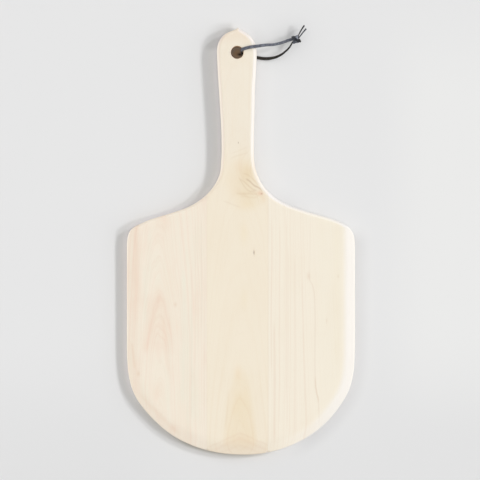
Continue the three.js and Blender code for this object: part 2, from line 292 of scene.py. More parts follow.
def field_points():
    """Mesh points shared by the staves: rings along the rim and the lead-in, a grid inside."""
    groups = []
    for inset in RIM_RINGS:
        ring = offset_ring(OUTLINE, inset)
        groups.append(ring if inset < 4.5 else ring[::2])
    for inset in LEAD_RINGS:
        ring = offset_ring(LEAD[1:-1], inset, closed=False)[::2]
        sides = np.array([[side * (HALF_W - inset), z] for side in (-1, 1)
                          for z in np.arange(LEAD_TOP, 330, 3.0)])
        both = np.vstack([ring, sides])
        both = both[inside(both, OUTLINE)]
        groups.append(both[distance(both, OUTLINE) > 8.6])
    columns, rows = np.meshgrid(np.arange(-150, 150, GRID_X), np.arange(2, 572, GRID_Z))
    grid = np.stack([columns.ravel(), rows.ravel()], 1)
    # every other row is set over by half a cell
    grid[:, 0] += GRID_X / 2 * (np.round(grid[:, 1] / GRID_Z).astype(int) % 2)
    grid = grid[inside(grid, OUTLINE)]
    groups.append(grid[(distance(grid, OUTLINE) > 9.0) & (distance(grid, LEAD, False) > 23.4)])
    return np.vstack(groups)


FIELD = field_points()
_turn = np.linspace(0, 2 * np.pi, HOLE_SEGMENTS, endpoint=False)
CIRCLE = np.stack([np.cos(_turn), np.sin(_turn)], 1)


def flat_stave(left, right, has_hole):
    """Triangulated (X, Z) shape of the outline between two joints: points and triangles."""
    poly = OUTLINE
    if left is not None:
        poly = clip_x(poly, left, keep_less=False)
    if right is not None:
        poly = clip_x(poly, right, keep_less=True)
    # divide the long cut edges
    loop = []
    for here, after in zip(poly, np.roll(poly, -1, 0)):
        parts = max(1, int(math.ceil(np.linalg.norm(after - here) / 3.0)))
        loop += [here + (after - here) * k / parts for k in range(parts)]
    loop = np.array(loop)

    points = FIELD
    if has_hole:
        rings = [HOLE + (HOLE_R + out) * CIRCLE for out in HOLE_RINGS]
        fine_x, fine_z = np.meshgrid(np.linspace(-1.6, 1.6, 13), np.linspace(-5.4, 5.4, 15))
        fine_grid = CHECK_AT + np.stack([fine_x.ravel(), fine_z.ravel()], 1)
        points = np.vstack([FIELD, *rings, fine_grid])
    keep = np.ones(len(points), bool)
    if left is not None:
        keep &= points[:, 0] > left + JOINT_CLEARANCE
    if right is not None:
        keep &= points[:, 0] < right - JOINT_CLEARANCE
    if has_hole:
        radius = np.hypot(*(points - HOLE).T)
        on_ring = np.isclose((radius - HOLE_R)[:, None], HOLE_RINGS, atol=1e-6).any(1)
        keep &= (radius > HOLE_R + 5.6) | on_ring
        # clear a band round the check's fine grid
        off = np.abs(points - CHECK_AT)
        fine = (off[:, 0] <= 1.6001) & (off[:, 1] <= 5.4001)
        keep &= ~((off[:, 0] < 2.6) & (off[:, 1] < 6.6) & ~fine)
    points = points[keep & inside(points, poly)]

    verts = [Vector(p) for p in loop]
    edges = [(i, (i + 1) % len(loop)) for i in range(len(loop))]
    if has_hole:
        base = len(verts)
        verts += [Vector(p) for p in HOLE + HOLE_R * CIRCLE]
        edges += [(base + i, base + (i + 1) % HOLE_SEGMENTS) for i in range(HOLE_SEGMENTS)]
    verts += [Vector(p) for p in points]
    cut_verts, _, cut_faces, *_ = delaunay_2d_cdt(verts, edges, [], 0, 1e-5)
    flat = np.array([[v[0], v[1]] for v in cut_verts])
    triangles = np.array([f for f in cut_faces if len(f) == 3])
    centres = flat[triangles].mean(1)
    wanted = inside(centres, loop)
    if has_hole:
        apothem = HOLE_R * math.cos(math.pi / HOLE_SEGMENTS)
        wanted &= np.hypot(*(centres - HOLE).T) > apothem
    triangles = triangles[wanted]

    # drop slivers, turn all triangles one way, number only the used points
    first, second, third = (flat[triangles[:, k]] for k in range(3))
    to_second, to_third = second - first, third - first
    cross = to_second[:, 0] * to_third[:, 1] - to_second[:, 1] * to_third[:, 0]
    triangles = triangles[np.abs(cross) > 1e-7]
    cross = cross[np.abs(cross) > 1e-7]
    triangles[cross < 0] = triangles[cross < 0][:, ::-1]
    used = np.unique(triangles)
    remap = -np.ones(len(flat), int)
    remap[used] = np.arange(len(used))
    return flat[used], remap[triangles]


def stave(name, left, right, has_hole, wall_rows=4):
    flat, triangles = flat_stave(left, right, has_hole)
    front, rear, edge = surfaces(flat)
    count = len(flat)
    faces = [tuple(map(int, t)) for t in triangles]
    directed = dict.fromkeys((t[k], t[(k + 1) % 3]) for t in faces for k in range(3))
    faces += [tuple(v + count for v in t[::-1]) for t in faces]
    # side walls round the edge and through the hole
    rim = [e for e in directed if (e[1], e[0]) not in directed]
    columns, extra = {}, []
    for v in sorted({v for e in rim for v in e}):
        column = [v]
        for k in range(1, wall_rows):
            column.append(2 * count + len(extra))
            share = k / wall_rows
            extra.append([flat[v, 0], front[v] * (1 - share) + rear[v] * share, flat[v, 1]])
        columns[v] = column + [v + count]
    for a, b in rim:
        for k in range(wall_rows):
            faces.append((columns[b][k], columns[a][k], columns[a][k + 1], columns[b][k + 1]))
    sheets = [np.stack([flat[:, 0], y, flat[:, 1]], 1) for y in (front, rear)]
    ob = new_object(name, (np.vstack([*sheets, extra]) * MM).tolist(), faces)
    shade(ob, 48)
    set_attribute(ob, "edge_mm", np.concatenate([edge, edge, np.zeros(len(extra))]))
    return ob


# =====================================================================
# Node graphs
# =====================================================================
def linear(rgb):
    """An 8-bit sRGB colour as linear values."""
    return tuple((c / 255 / 12.92) if c / 255 <= 0.04045 else ((c / 255 + 0.055) / 1.055) ** 2.4
                 for c in rgb)


def paint(rgb):
    """A lit surface colour, allowing for the light on the object."""
    return tuple(c / 1.053 for c in linear(rgb))


class Value:
    """A node output that can be used in sums."""

    def __init__(self, graph, socket):
        self.graph, self.socket = graph, socket

    def math(self, operation, *others):
        return self.graph.math(operation, self, *others)

    def __add__(self, other): return self.math("ADD", other)
    __radd__ = __add__
    def __sub__(self, other): return self.math("SUBTRACT", other)
    def __rsub__(self, other): return self.graph.math("SUBTRACT", other, self)
    def __mul__(self, other): return self.math("MULTIPLY", other)
    __rmul__ = __mul__

    def output(self, name):
        """Another output of the same node."""
        return Value(self.graph, self.socket.node.outputs[name])

    def ramp(self, start, end, low=0.0, high=1.0):
        """Smooth step from low at start to high at end; start may be the larger."""
        return self.graph.make("ShaderNodeMapRange", (self, start, end, low, high),
                               interpolation_type="SMOOTHSTEP")

    def bell(self, width):
        """exp(-(value / width)^2)"""
        k = self * (1.0 / width)
        return (k * k * -1.0).math("EXPONENT")

    def span(self, start, end, soft):
        """1 between start and end, 0 beyond, over a soft width."""
        return self.ramp(start - soft, start) * self.ramp(end, end + soft, 1.0, 0.0)

    def noise(self, scale=1.0, detail=2.0, rough=0.5, source="Vector", dimensions="3D"):
        inputs = {source: self, "Scale": scale, "Detail": detail, "Roughness": rough}
        return self.graph.make("ShaderNodeTexNoise", inputs, noise_dimensions=dimensions)

    def noise_1d(self, **settings):
        return self.noise(source="W", dimensions="1D", **settings)

    def curve(self, points):
        """A smooth function of this value through (input, output) points."""
        inputs, outputs = zip(*points)
        x0, x1, v0, v1 = min(inputs), max(inputs), min(outputs), max(outputs)
        node = self.graph.tree.nodes.new("ShaderNodeFloatCurve")
        curve = node.mapping.curves[0]
        spots = [((a - x0) / (x1 - x0), (b - v0) / (v1 - v0)) for a, b in sorted(points)]
        curve.points[0].location, curve.points[1].location = spots[0], spots[-1]
        for spot_at in spots[1:-1]:
            curve.points.new(*spot_at)
        node.mapping.update()
        self.graph.plug(node.inputs["Value"], (self - x0) * (1.0 / (x1 - x0)))
        return Value(self.graph, node.outputs[0]) * (v1 - v0) + v0


class Graph:
    """Builds nodes in a tree. `colour` is the surface colour as tinted so far."""

    def __init__(self, tree):
        self.tree = tree
        self.colour = None

    def plug(self, socket, value):
        if isinstance(value, Value):
            self.tree.links.new(value.socket, socket)
        elif isinstance(value, tuple) and len(value) == 3 and len(socket.default_value) == 4:
            socket.default_value = (*value, 1.0)
        else:
            socket.default_value = value

    def make(self, kind, inputs=(), output=0, **props):
        """Adds a node; inputs go by position, or by the keys of a dictionary."""
        node = self.tree.nodes.new(kind)
        for key, value in props.items():
            setattr(node, key, value)
        for key, value in inputs.items() if isinstance(inputs, dict) else enumerate(inputs):
            self.plug(node.inputs[key], value)
        return Value(self, node.outputs[output]) if node.outputs else node

    def math(self, operation, *values):
        return self.make("ShaderNodeMath", values, operation=operation)

    def vector(self, x, y, z):
        return self.make("ShaderNodeCombineXYZ", (x, y, z))

    def split(self, vector):
        parts = self.make("ShaderNodeSeparateXYZ", (vector,))
        return [parts.output(axis) for axis in "XYZ"]

    def place(self):
        """Object coordinates in millimetres."""
        coordinates = self.make("ShaderNodeTexCoord", output="Object")
        return self.split(self.make("ShaderNodeVectorMath", {0: coordinates, "Scale": 1000.0},
                                    operation="SCALE"))

    def attribute(self, name):
        return self.make("ShaderNodeAttribute", output="Fac", attribute_name=name)

    def mix(self, amount, first, second, **props):
        return self.make("ShaderNodeMix", {0: amount, 6: first, 7: second}, output=2,
                         data_type="RGBA", clamp_factor=True, **props)

    def tint(self, amount, rgb):
        """Multiplies the colour by rgb, by an amount from 0 to 1."""
        self.colour = self.mix(amount, self.colour, rgb, blend_type="MULTIPLY")

    def principled(self, rough, specular, height, bump_strength, bump_mm):
        bump = self.make("ShaderNodeBump", {
            "Height": height, "Strength": bump_strength, "Distance": bump_mm * MM})
        shader = self.make("ShaderNodeBsdfPrincipled", {
            "Base Color": self.colour, "Roughness": rough, "Specular IOR Level": specular,
            "Normal": bump})
        self.make("ShaderNodeOutputMaterial", {"Surface": shader})

    def mixed_output(self, kind, amount, first, second):
        shader = self.make("ShaderNodeMixShader", (amount, first, second))
        self.make(kind, {"Surface": shader})


def cleared_tree(owner):
    owner.use_nodes = True
    owner.node_tree.nodes.clear()
    return owner.node_tree


def hypot(a, b):
    return (a * a + b * b).math("SQRT")


def spot(x, z, centre_x, centre_z, width_x, width_z):
    a, b = (x - centre_x) * (1.0 / width_x), (z - centre_z) * (1.0 / width_z)
    return ((a * a + b * b) * -1.0).math("EXPONENT")


def line(x, z, start, end, width, soft=6.0):
    """Soft straight mark from start to end."""
    length = math.dist(start, end)
    dx, dz = (end[0] - start[0]) / length, (end[1] - start[1]) / length
    along = (x - start[0]) * dx + (z - start[1]) * dz
    off = (x - start[0]) * -dz + (z - start[1]) * dx
    return off.bell(width) * along.span(0.0, length, soft)


# =====================================================================
# Wood
# =====================================================================
class Wood(Graph):
    """A stave's graph, with its coordinates and two wavering offsets for the grain."""

    def __init__(self, tree):
        super().__init__(tree)
        self.x, self.y, self.z = self.place()
        self.wander = self.cloud(0.022, 0.022, 0.006) - 0.5
        self.ripple = self.cloud(0.09, 0.09, 0.016, shift=31.0) - 0.5

    def cloud(self, rate_x, rate_y, rate_z, shift=None, **settings):
        """Noise with its own rate per millimetre along each axis."""
        x = self.x * rate_x
        if shift is not None:
            x = x + shift
        return self.vector(x, self.y * rate_y, self.z * rate_z).noise(**settings)

    def spots(self, x, rows):
        """Rows: centre X, Z, width X, Z, strength (None for full), tint."""
        for centre_x, centre_z, width_x, width_z, strength, rgb in rows:
            amount = spot(x, self.z, centre_x, centre_z, width_x, width_z)
            self.tint(amount if strength is None else amount * strength, rgb)

    def streak(self, offset, width, start, end, soft):
        """Upright mark where offset is near 0, from Z start to end."""
        return offset.bell(width) * self.z.span(start, end, soft)

    def streaks(self, across, soft, rgb, rows):
        """Rows: centre, lower Z, upper Z, width, strength."""
        for centre, start, end, width, strength in rows:
            self.tint(self.streak(across - centre, width, start, end, soft) * strength, rgb)


def left_figure(wood):
    """Flat sawn round X = -110; the heart lies in front of the board, farther off higher up."""
    x, y, z, wander, ripple, tint = wood.x, wood.y, wood.z, wood.wander, wood.ripple, wood.tint
    wood.colour = paint((244, 233, 216))
    depth = (z + 190.0) * 0.085
    across = x + 110.0 - wander * 16.0
    radius = (across * across + (depth + y) * (depth + y)).math("SQRT") + ripple * 3.0
    rings = radius.noise_1d(scale=0.30, detail=3.0, rough=0.62)
    fine = radius.noise_1d(scale=1.15, rough=0.6)
    tint(rings.ramp(0.46, 0.70) * 0.85, (0.985, 0.955, 0.945))
    tint(rings.ramp(0.50, 0.28) * 0.6, (0.985, 1.0, 1.0))
    tint(fine.ramp(0.48, 0.72) * 0.6, (0.972, 0.95, 0.935))
    grain_x = x - wander * 4.0
    soft = wood.cloud(0.2, 0.2, 0.03)
    # broad pink and pale clouds drawn out along the grain
    patchy = wood.cloud(0.055, 0.05, 0.017, shift=7.0)
    tint(patchy.ramp(0.50, 0.72) * 0.8, (0.992, 0.955, 0.945))
    tint(patchy.ramp(0.48, 0.30) * 0.8, (0.985, 1.0, 0.995))
    # pink streak beside the edge
    streak = wood.streak(grain_x + 139.5, width=4.8, start=214.0, end=300.0, soft=40.0)
    tint(streak * (soft * 0.9 + 0.4), (0.985, 0.915, 0.89))
    # pink flame: a blurred arch with its top at Z = 228, and its rim
    flame = ((228.0 - z) * (1.0 / 78.0)).math("MAXIMUM", 0.0).math("SQRT") * 18.0
    inner = ((grain_x + 110.5).math("ABSOLUTE") - flame).ramp(7.0, -7.0)
    inner = inner * z.span(152.0, 214.0, soft=26.0)
    tint(inner * (soft * 0.9 + 0.3), (0.988, 0.95, 0.935))
    rim_offset = (grain_x + 110.5).math("ABSOLUTE") - flame + ripple * 3.0
    rim = wood.streak(rim_offset, width=3.6, start=150.0, end=200.0, soft=20.0)
    tint(rim * (soft * 0.6 + 0.15), (0.975, 0.92, 0.905))
    # slanting and scattered marks
    tint(line(grain_x + ripple * 4.0, z, (-110.0, 207.7), (-126.5, 146.0), width=2.8, soft=16.0)
         * 0.55, (0.972, 0.91, 0.89))
    tint(line(grain_x + ripple * 4.0, z, (-103.0, 176.0), (-99.0, 122.0), width=3.0, soft=18.0)
         * 0.7, (0.98, 0.93, 0.91))
    wood.spots(x, (
        (-87.6, 201.0, 2.0, 2.8, None, (0.945, 0.895, 0.86)),
        (-137.1, 108.7, 2.2, 3.4, None, (0.95, 0.90, 0.86)),
    ))
    wood.spots(grain_x, (
        (-114.0, 83.0, 8.0, 13.0, 0.8, (0.988, 0.945, 0.925)),
        (-104.0, 310.0, 9.0, 16.0, 0.8, (0.988, 0.95, 0.935)),
        (-90.0, 36.0, 6.0, 6.0, 0.9, (0.98, 0.93, 0.91)),
    ))
    tint(line(grain_x, z, (-145.2, 146.2), (-142.5, 119.4), width=1.6) * 0.9, (0.965, 0.92, 0.89))
    tint(line(x + ripple * 6.0, z, (-131.0, 76.0), (-88.0, 32.5), width=2.6, soft=12.0) * 0.55,
         (0.965, 0.925, 0.895))
    # broad cool streaks, then hairlines near the joint
    wood.streaks(grain_x, 18.0, (0.972, 1.0, 0.998), (
        (-127.8, 186.0, 240.0, 3.4, 1.0), (-76.6, 80.0, 232.0, 3.4, 1.0),
        (-62.2, 60.0, 106.0, 3.4, 0.9), (-69.5, 30.0, 190.0, 3.4, 0.6),
        (-97.0, 60.0, 150.0, 3.4, 0.5), (-122.0, 240.0, 290.0, 3.4, 0.6),
    ))
    wood.streaks(grain_x, 18.0, (0.955, 0.945, 0.935), (
        (-52.9, 180.0, 306.0, 0.8, 0.9), (-48.6, 60.0, 250.0, 0.7, 0.6),
        (-57.5, 150.0, 300.0, 0.7, 0.5), (-66.0, 60.0, 236.0, 0.9, 0.8),
        (-61.0, 130.0, 300.0, 0.7, 0.6), (-71.8, 40.0, 180.0, 0.7, 0.5),
        (-80.5, 130.0, 300.0, 0.8, 0.35),
    ))


def right_figure(wood):
    """Straight lines, dense near the joint and leaning toward the outer edge."""
    x, y, z, tint = wood.x, wood.y, wood.z, wood.tint
    wood.colour = paint((245, 236, 219))
    lean = x.ramp(60.0, 105.0) * 0.055
    radius = (x + lean * (z - 200.0) + wood.wander * 5.0 + wood.ripple * 1.4
              + (y + HALF_T) * 0.55)
    dense = x.ramp(98.0, 74.0)
    rings = radius.noise_1d(scale=0.42, detail=3.0, rough=0.65)
    fine = (radius + 40.0).noise_1d(scale=1.5, detail=3.0, rough=0.7)
    tint(rings.ramp(0.50, 0.70) * (dense * 0.75 + 0.22), (0.972, 0.945, 0.925))
    tint(fine.ramp(0.54, 0.72) * (dense * 0.85 + 0.15), (0.965, 0.935, 0.915))
    tint(fine.ramp(0.44, 0.30) * (dense * 0.6), (0.985, 1.0, 1.0))
    wood.streaks(radius, 25.0, (0.955, 0.915, 0.895), (
        (40.8, 126.0, 300.0, 0.9, 0.8), (44.8, 32.0, 160.0, 1.3, 1.0),
        (51.5, 60.0, 290.0, 0.8, 0.65), (60.3, 90.0, 300.0, 0.7, 0.7),
        (62.6, 50.0, 260.0, 0.7, 0.6), (71.6, 40.0, 250.0, 0.9, 0.55),
        (82.3, 30.0, 220.0, 0.9, 0.6),
    ))
    # one dark bending line, as (Z, X)
    bend = z.curve([(20, 104.6), (52.5, 104.2), (71.2, 103.4), (84.6, 100.8), (103.4, 99.0),
                    (199.7, 98.6), (226.5, 95.7), (239.9, 91.4), (263.9, 92.0), (320, 92.3)])
    dark = wood.streak(x - bend, width=0.95, start=60.0, end=300.0, soft=30.0)
    tint(dark * (z.ramp(252.0, 222.0) * 0.42 + 0.28), (0.92, 0.885, 0.86))
    tint(wood.streak(x - bend, width=1.0, start=76.0, end=98.0, soft=9.0) * 0.7,
         (0.93, 0.875, 0.83))
    wood.spots(x, (
        (90.2, 239.0, 2.4, 4.5, None, (0.94, 0.90, 0.87)),
        (129.9, 238.5, 1.1, 2.2, None, (0.935, 0.905, 0.87)),
        (114.4, 179.6, 1.2, 3.6, None, (0.95, 0.925, 0.90)),
    ))
    tint(x.ramp(96.0, 110.0) * 0.8, (0.992, 0.998, 0.99))
    tint(wood.streak(x - 128.0, width=6.0, start=150.0, end=300.0, soft=50.0) * 0.6,
         (0.99, 0.98, 0.955))


# Dark arcs on the neck's front: (X, Z) points, width, strength, first X, last X, tint
NECK_ARCS = (
    ([(0.5, 372.0), (1.9, 371.0), (10.2, 366.8), (17.8, 360.4), (24.5, 356.6), (28.5, 352.0),
      (31.0, 349.0)], 1.35, 0.7, 9.0, 26.0, (0.76, 0.665, 0.585)),
    ([(-3.0, 370.0), (-0.7, 368.6), (7.0, 362.4), (14.0, 356.8), (21.0, 353.6), (26.0, 352.2)],
     1.3, 0.42, 1.0, 19.0, (0.84, 0.765, 0.685)),
    ([(-3.0, 370.5), (-0.7, 366.9), (4.4, 358.9), (11.1, 352.8), (16.7, 352.9), (21.0, 354.4)],
     1.4, 0.42, -0.5, 17.0, (0.84, 0.765, 0.68)),
    ([(-3.0, 377.0), (4.0, 376.0), (11.0, 373.0), (17.0, 367.4), (23.0, 361.0), (27.0, 357.0)],
     1.3, 0.38, 5.0, 22.0, (0.86, 0.785, 0.71)),
    ([(-3.0, 349.2), (5.0, 349.0), (13.0, 349.6), (21.0, 348.2)],
     1.7, 0.6, -4.0, 22.0, (0.90, 0.845, 0.77)),
    ([(-3.0, 345.2), (5.0, 345.6), (13.0, 344.4), (21.0, 345.2)],
     1.3, 0.4, 2.0, 20.0, (0.91, 0.855, 0.78)),
    ([(-24.0, 339.6), (-17.0, 337.4), (-10.0, 334.4), (-3.0, 331.6)],
     1.3, 0.4, -21.0, -4.0, (0.90, 0.865, 0.83)),
    ([(-13.0, 396.0), (-6.0, 399.5), (2.0, 402.0), (8.0, 403.5)],
     1.2, 0.5, -11.0, 6.0, (0.93, 0.895, 0.85)),
    ([(-13.0, 402.0), (-6.0, 405.5), (2.0, 409.0), (8.0, 410.5)],
     1.0, 0.35, -10.0, 5.0, (0.93, 0.90, 0.86)),
)


def centre_figure(wood):
    """Flat sawn; the heart lies in front of the board, farther off toward the handle."""
    x, y, z, ripple, tint = wood.x, wood.y, wood.z, wood.ripple, wood.tint
    wood.colour = paint((243, 232, 212))
    depth = (z + 218.0) * 0.10 + y + HALF_T
    across = x + 0.6 - wood.wander * 9.0
    # the rings sweep round a knot beside the neck
    knot_x, knot_z = (x - 23.0) * (1 / 21.0), (z - 379.0) * (1 / 24.0)
    knot = knot_x * knot_x + knot_z * knot_z
    whorl = (knot * -1.0).math("EXPONENT")
    radius = hypot(across, depth) + ripple * 3.2 + whorl * 17.0
    arch = z.span(-60.0, 96.0, soft=34.0)
    neck = knot.ramp(3.4, 0.5)
    strength = arch * 0.20 + neck * 0.36 + 0.14
    rings = radius.noise_1d(scale=0.33, rough=0.55)
    lines = (radius + 11.0).noise_1d(scale=1.05, detail=3.0, rough=0.62)
    tint(rings.ramp(0.44, 0.70) * strength, (0.965, 0.93, 0.885))
    tint(lines.ramp(0.50, 0.76) * strength, (0.955, 0.92, 0.885))
    tint(lines.ramp(0.45, 0.30) * strength * 0.6, (0.99, 1.0, 1.0))
    # warm flame inside the arches
    flame = wood.cloud(0.09, 0.1, 0.03)
    inner = radius.ramp(35.5, 28.5) * z.span(24.0, 100.0, soft=26.0)
    tint(inner * (flame * 0.9 + 0.45), (0.975, 0.938, 0.872))
    wood.spots(x, ((2.0, 68.0, 13.0, 36.0, flame * 0.8 + 0.3, (0.985, 0.97, 0.915)),))
    tint(line(x + ripple * 3.0, z, (-17.0, 78.0), (-20.0, 44.0), width=1.5, soft=14.0) * 0.7,
         (0.955, 0.925, 0.88))
    tint(line(x + ripple * 3.0, z, (12.0, 62.0), (17.0, 30.0), width=1.8, soft=14.0) * 0.5,
         (0.965, 0.935, 0.89))
    wood.spots(x, ((-4.0, 110.0, 5.0, 10.0, 0.8, (0.985, 0.94, 0.88)),))
    # dusky arches low on the lead-in: (Z, width, strength)
    peak = ((x + 1.0) * (x + 1.0) + 9.0).math("SQRT") * 0.48 - 1.5 + ripple * 4.0
    low = (z + peak).ramp(31.0, 22.0) * x.span(-42.0, 33.0, soft=10.0)
    tint(low * 0.7, (0.968, 0.928, 0.908))
    for arch_z, width, amount in ((29.0, 1.6, 0.55), (21.5, 2.0, 0.32), (13.0, 1.8, 0.35)):
        tint((z - arch_z + peak).bell(width) * x.span(-40.0, 32.0, soft=12.0) * amount,
             (0.95, 0.905, 0.885))
    neck_cloud = wood.cloud(0.12, 0.12, 0.09, detail=3.0)
    wood.spots(x, (
        # yellowish patches in the plain middle
        (4.0, 296.0, 5.5, 14.0, 0.8, (0.995, 0.98, 0.93)),
        (4.5, 209.0, 5.0, 13.0, 0.7, (0.99, 0.975, 0.935)),
        # tan patches on the neck
        (7.0, 371.0, 16.0, 23.0, neck_cloud * 0.6 + 0.5, (0.945, 0.895, 0.80)),
        (8.0, 378.0, 7.0, 11.0, 0.65, (0.965, 0.915, 0.83)),
        (-9.0, 358.0, 9.0, 15.0, 0.5, (0.985, 0.955, 0.915)),
        (-3.5, 386.0, 6.0, 8.0, 0.5, (0.985, 0.935, 0.90)),
        (8.0, 346.0, 15.0, 11.0, 0.9, (0.972, 0.94, 0.88)),
        (9.0, 334.0, 13.0, 7.0, 0.8, (0.985, 0.955, 0.88)),
        (-17.0, 372.0, 8.0, 16.0, 0.5, (0.99, 0.975, 0.93)),
    ))
    wobble = ripple * 2.0
    face = y.ramp(4.0, -4.0)
    for points, width, amount, first_x, last_x, rgb in NECK_ARCS:
        arc_z = x.curve(points)
        tint((z - arc_z + wobble).bell(width) * x.span(first_x, last_x, soft=4.0)
             * (face * amount), rgb)
    check_x, check_z = CHECK_AT
    wood.spots(x, (
        (25.4, 350.0, 4.2, 3.4, 0.85, (0.95, 0.82, 0.74)),
        (29.5, 343.0, 4.5, 6.5, 0.7, (0.975, 0.92, 0.85)),
        (27.6, 349.2, 1.3, 1.1, face, (0.78, 0.63, 0.56)),
        # the check's dark fill is painted shade inside the crack
        (check_x, check_z, 0.5, 2.3, face, (0.36, 0.29, 0.23)),
    ))
    # the check's lip, and a tiny dash
    tint(spot(x, z, check_x + 0.3, check_z + 0.5, 1.5, 4.4) * face * 0.7, (0.90, 0.86, 0.82))
    wood.spots(x, ((-3.6, 417.2, 0.42, 1.1, face, (0.52, 0.42, 0.35)),))
    # pinkish tip, cooler handle with faint lengthways rings
    tint(z.ramp(546.0, 562.0) * 0.9, (0.975, 0.935, 0.915))
    tint(z.ramp(385.0, 425.0), (0.99, 1.005, 1.035))
    lengthways = wood.cloud(0.35, 0.3, 0.012)
    tint(lengthways.ramp(0.52, 0.75) * z.ramp(395.0, 430.0) * 0.5, (0.985, 0.965, 0.935))


def bore_painted_shade(wood):
    """Painted shade darkening the bore, a darker ring round its rim, and a faint painted shadow
    below the front strand.
    """
    x, z = wood.x - HOLE[0], wood.z - HOLE[1]
    radius = hypot(x, z)
    turn = wood.vector(x * 0.8, wood.y * 2.6, z * 0.8).noise()
    # painted shade inside the bore
    wood.tint(radius.ramp(HOLE_R + 0.7, HOLE_R + 0.1) * (turn * 0.5 + 0.65), (0.60, 0.43, 0.27))
    wood.tint(radius.ramp(HOLE_R + 2.4, HOLE_R + 0.8) * 0.5, (0.96, 0.93, 0.88))
    # painted shadow just below the front strand
    strand_shadow_band = line(x, z, (8.0, 2.0), (26.0, 6.0), width=2.6)
    wood.tint(strand_shadow_band * wood.y.ramp(0.0, -6.0) * 0.25, (0.95, 0.94, 0.93))


def wood_material(name, figure, joints, has_hole):
    material = bpy.data.materials.new(name)
    wood = Wood(cleared_tree(material))
    figure(wood)
    x, z, tint = wood.x, wood.z, wood.tint
    # fibres and pores
    fibre = wood.cloud(1.5, 1.5, 0.035, detail=3.0, rough=0.6)
    hair = wood.cloud(4.6, 4.6, 0.09, rough=0.6)
    pores = wood.cloud(2.9, 2.9, 0.34, detail=1.0).ramp(0.70, 0.76)
    broad = wood.cloud(0.035, 0.035, 0.011)
    tint(broad.ramp(0.45, 0.75) * 0.6, (0.985, 0.972, 0.955))
    tint(fibre.ramp(0.50, 0.80) * 0.55, (0.965, 0.945, 0.92))
    tint(hair.ramp(0.52, 0.80) * 0.45, (0.955, 0.935, 0.91))
    tint(pores * 0.5, (0.90, 0.855, 0.80))
    # painted highlight: edges facing right, toward the key lights, are whiter and lighter, the
    # lower right bevel too
    facing_x, facing_y, facing_z = wood.split(wood.make("ShaderNodeNewGeometry", output="Normal"))
    tint(facing_x.ramp(0.08, 0.34), (0.932, 0.962, 1.065))
    tint(facing_x.ramp(0.42, 0.80) * facing_z.ramp(-0.6, -0.2), (1.05, 1.05, 1.05))
    tint((facing_x * facing_z * -1.0).ramp(0.004, 0.05) * facing_x.ramp(0.02, 0.12),
         (1.035, 1.04, 1.05))
    # painted highlight on edges facing up; painted warm shade on those facing left on the blade
    tint(facing_z.ramp(0.16, 0.50) * facing_x.ramp(-0.35, 0.10), (1.09, 1.11, 1.15))
    tint(facing_x.ramp(-0.10, -0.34) * facing_y.ramp(-0.5, -0.8), (0.99, 0.965, 0.95))
    # painted shade, a little cool, on the handle's left-facing edges
    tint(facing_x.ramp(-0.25, -0.60) * z.ramp(340.0, 385.0), (0.945, 0.935, 0.965))
    # end grain where the surface faces along the boards
    end = (facing_z * -1.0).math("MAXIMUM", facing_z * 0.93).ramp(0.86, 0.98)
    dots = wood.cloud(3.4, 3.4, 3.4, rough=0.6)
    tint(end * 0.8, (0.975, 0.945, 0.90))
    tint(end * dots.ramp(0.52, 0.70) * 0.6, (0.93, 0.885, 0.83))
    if has_hole:
        bore_painted_shade(wood)
    # edges a little darker from handling, seams hairline thin
    edge = wood.attribute("edge_mm")
    grime = wood.cloud(0.10, 0.3, 0.07, detail=3.0)
    tint(edge.ramp(2.0, 0.2) * grime.ramp(0.55, 0.8) * 0.35, (0.965, 0.94, 0.90))
    for joint in joints:
        tint((x - joint).bell(width=0.28) * 0.8, (0.93, 0.90, 0.86))
    height = (fibre - 0.5) * 0.5 + (hair - 0.5) * 0.5 - pores * 0.8 + dots * end * 0.6
    rough = fibre.ramp(0.3, 0.7, low=0.46, high=0.54) + pores * 0.15 + end * 0.08
    wood.principled(rough, specular=0.62, height=height, bump_strength=0.35, bump_mm=0.10)
    return material


for side, left, right, figure in (("left", None, JOINT_L, left_figure),
                                  ("centre", JOINT_L, JOINT_R, centre_figure),
                                  ("right", JOINT_R, None, right_figure)):
    has_hole = side == "centre"
    board = stave(f"board_{side}", left, right, has_hole)
    joints = [joint for joint in (left, right) if joint is not None]
    dress(board, wood_material(f"wood_{side}", figure, joints, has_hole),
          "board", f"stave_{side}")


